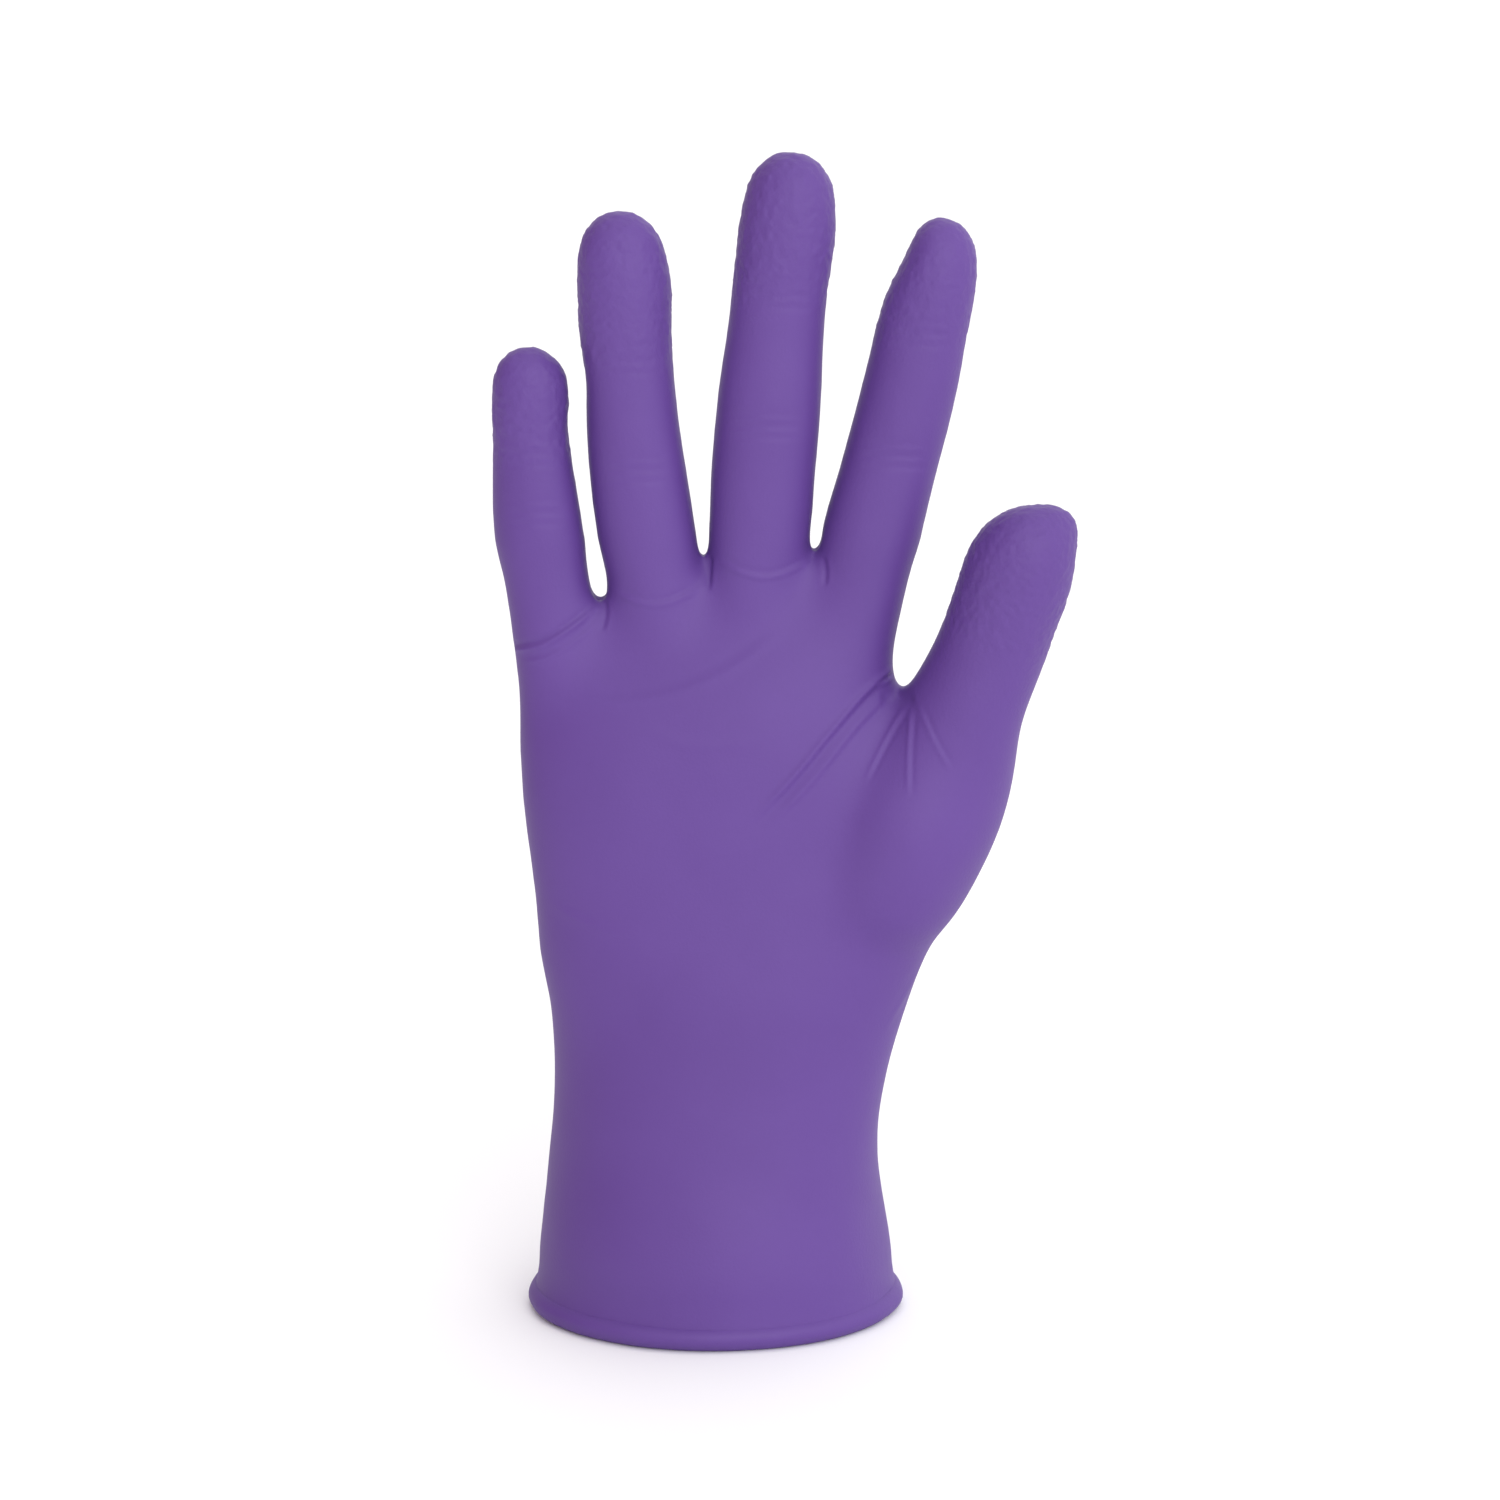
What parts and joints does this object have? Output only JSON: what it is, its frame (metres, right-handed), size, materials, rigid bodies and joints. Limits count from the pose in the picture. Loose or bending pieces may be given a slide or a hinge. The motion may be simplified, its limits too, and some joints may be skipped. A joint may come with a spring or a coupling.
{
  "type": "disposable glove",
  "caption": "Thin purple dipped film glove for the right hand, filled out as worn, standing on its rolled cuff, with fingers and thumb that bend.",
  "frame": {"origin": "centre of the cuff opening, on the plane that the rolled bead stands on", "axes": "+Z from the cuff up to the fingertips, +X towards the thumb, -Y out of the palm"},
  "size_m": [0.1179, 0.0626, 0.2417],
  "materials": {
    "film_cuff": "satin purple nitrile film, smooth",
    "film_palm": "satin purple nitrile film, very fine grain",
    "film_finger": "satin purple nitrile film, very fine grain",
    "film_tip": "purple nitrile film with a fine raised texture for grip",
    "bead": "satin purple nitrile film, rolled"
  },
  "bodies": {
    "root": {"cuff_bead": "bead", "cuff": "film_cuff", "palm": "film_palm"},
    "little_finger_base": {"little_finger_base": "film_finger", "little_finger_base_bend": "film_finger"},
    "little_finger_middle": {"little_finger_middle": "film_finger", "little_finger_middle_bend": "film_finger"},
    "little_finger_tip": {"little_finger_tip": "film_tip", "little_finger_tip_bend": "film_finger"},
    "ring_finger_base": {"ring_finger_base": "film_finger", "ring_finger_base_bend": "film_finger"},
    "ring_finger_middle": {"ring_finger_middle": "film_finger", "ring_finger_middle_bend": "film_finger"},
    "ring_finger_tip": {"ring_finger_tip": "film_tip", "ring_finger_tip_bend": "film_finger"},
    "middle_finger_base": {"middle_finger_base": "film_finger", "middle_finger_base_bend": "film_finger"},
    "middle_finger_middle": {"middle_finger_middle": "film_finger", "middle_finger_middle_bend": "film_finger"},
    "middle_finger_tip": {"middle_finger_tip": "film_tip", "middle_finger_tip_bend": "film_finger"},
    "index_finger_base": {"index_finger_base": "film_finger", "index_finger_base_bend": "film_finger"},
    "index_finger_middle": {"index_finger_middle": "film_finger", "index_finger_middle_bend": "film_finger"},
    "index_finger_tip": {"index_finger_tip": "film_tip", "index_finger_tip_bend": "film_finger"},
    "thumb_base": {"thumb_base": "film_finger", "thumb_base_bend": "film_finger"},
    "thumb_tip": {"thumb_tip": "film_tip", "thumb_tip_bend": "film_finger"}
  },
  "joints": [
    {"name": "little_finger_base_flex", "type": "hinge", "parent": "root", "child": "little_finger_base", "pos_m": [-0.03376, -0.00036, 0.15443], "axis": [1, 0, 0], "range_deg": [0, 60], "stiffness_Nm_per_rad": 0.004, "deforming": ["little_finger_base_bend"]},
    {"name": "little_finger_middle_flex", "type": "hinge", "parent": "little_finger_base", "child": "little_finger_middle", "pos_m": [-0.03547, -0.00112, 0.16832], "axis": [1, 0, 0], "range_deg": [0, 75], "stiffness_Nm_per_rad": 0.003, "deforming": ["little_finger_middle_bend"]},
    {"name": "little_finger_tip_flex", "type": "hinge", "parent": "little_finger_middle", "child": "little_finger_tip", "pos_m": [-0.03655, -0.00177, 0.18028], "axis": [1, 0, 0], "range_deg": [0, 50], "stiffness_Nm_per_rad": 0.002, "deforming": ["little_finger_tip_bend"]},
    {"name": "ring_finger_base_flex", "type": "hinge", "parent": "root", "child": "ring_finger_base", "pos_m": [-0.01303, -0.00035, 0.16119], "axis": [1, 0, 0], "range_deg": [0, 60], "stiffness_Nm_per_rad": 0.004, "deforming": ["ring_finger_base_bend"]},
    {"name": "ring_finger_middle_flex", "type": "hinge", "parent": "ring_finger_base", "child": "ring_finger_middle", "pos_m": [-0.01516, -0.00096, 0.17705], "axis": [1, 0, 0], "range_deg": [0, 75], "stiffness_Nm_per_rad": 0.003, "deforming": ["ring_finger_middle_bend"]},
    {"name": "ring_finger_tip_flex", "type": "hinge", "parent": "ring_finger_middle", "child": "ring_finger_tip", "pos_m": [-0.0173, -0.00181, 0.19896], "axis": [1, 0, 0], "range_deg": [0, 50], "stiffness_Nm_per_rad": 0.002, "deforming": ["ring_finger_tip_bend"]},
    {"name": "middle_finger_base_flex", "type": "hinge", "parent": "root", "child": "middle_finger_base", "pos_m": [0.00929, -0.00031, 0.16499], "axis": [1, 0, 0], "range_deg": [0, 60], "stiffness_Nm_per_rad": 0.004, "deforming": ["middle_finger_base_bend"]},
    {"name": "middle_finger_middle_flex", "type": "hinge", "parent": "middle_finger_base", "child": "middle_finger_middle", "pos_m": [0.0106, -0.00105, 0.18595], "axis": [1, 0, 0], "range_deg": [0, 75], "stiffness_Nm_per_rad": 0.003, "deforming": ["middle_finger_middle_bend"]},
    {"name": "middle_finger_tip_flex", "type": "hinge", "parent": "middle_finger_middle", "child": "middle_finger_tip", "pos_m": [0.01309, -0.00195, 0.21184], "axis": [1, 0, 0], "range_deg": [0, 50], "stiffness_Nm_per_rad": 0.002, "deforming": ["middle_finger_tip_bend"]},
    {"name": "index_finger_base_flex", "type": "hinge", "parent": "root", "child": "index_finger_base", "pos_m": [0.0322, -0.00031, 0.16428], "axis": [0.9925, 0, -0.1219], "range_deg": [0, 60], "stiffness_Nm_per_rad": 0.004, "deforming": ["index_finger_base_bend"]},
    {"name": "index_finger_middle_flex", "type": "hinge", "parent": "index_finger_base", "child": "index_finger_middle", "pos_m": [0.03587, -0.00096, 0.17986], "axis": [0.9925, 0, -0.1219], "range_deg": [0, 75], "stiffness_Nm_per_rad": 0.003, "deforming": ["index_finger_middle_bend"]},
    {"name": "index_finger_tip_flex", "type": "hinge", "parent": "index_finger_middle", "child": "index_finger_tip", "pos_m": [0.04119, -0.00199, 0.20429], "axis": [0.9925, 0, -0.1219], "range_deg": [0, 50], "stiffness_Nm_per_rad": 0.002, "deforming": ["index_finger_tip_bend"]},
    {"name": "thumb_base_flex", "type": "hinge", "parent": "root", "child": "thumb_base", "pos_m": [0.05038, -0.005, 0.12272], "axis": [0.8061, 0, -0.5918], "range_deg": [0, 15], "stiffness_Nm_per_rad": 0.004, "deforming": ["thumb_base_bend"]},
    {"name": "thumb_tip_flex", "type": "hinge", "parent": "thumb_base", "child": "thumb_tip", "pos_m": [0.05532, -0.00777, 0.13897], "axis": [0.9344, 0, -0.3562], "range_deg": [0, 30], "stiffness_Nm_per_rad": 0.002, "deforming": ["thumb_tip_bend"]}
  ],
  "couplings": [
    {"joint": "little_finger_tip_flex", "follows": "little_finger_middle_flex", "ratio": 0.66667},
    {"joint": "ring_finger_tip_flex", "follows": "ring_finger_middle_flex", "ratio": 0.66667},
    {"joint": "middle_finger_tip_flex", "follows": "middle_finger_middle_flex", "ratio": 0.66667},
    {"joint": "index_finger_tip_flex", "follows": "index_finger_middle_flex", "ratio": 0.66667}
  ]
}
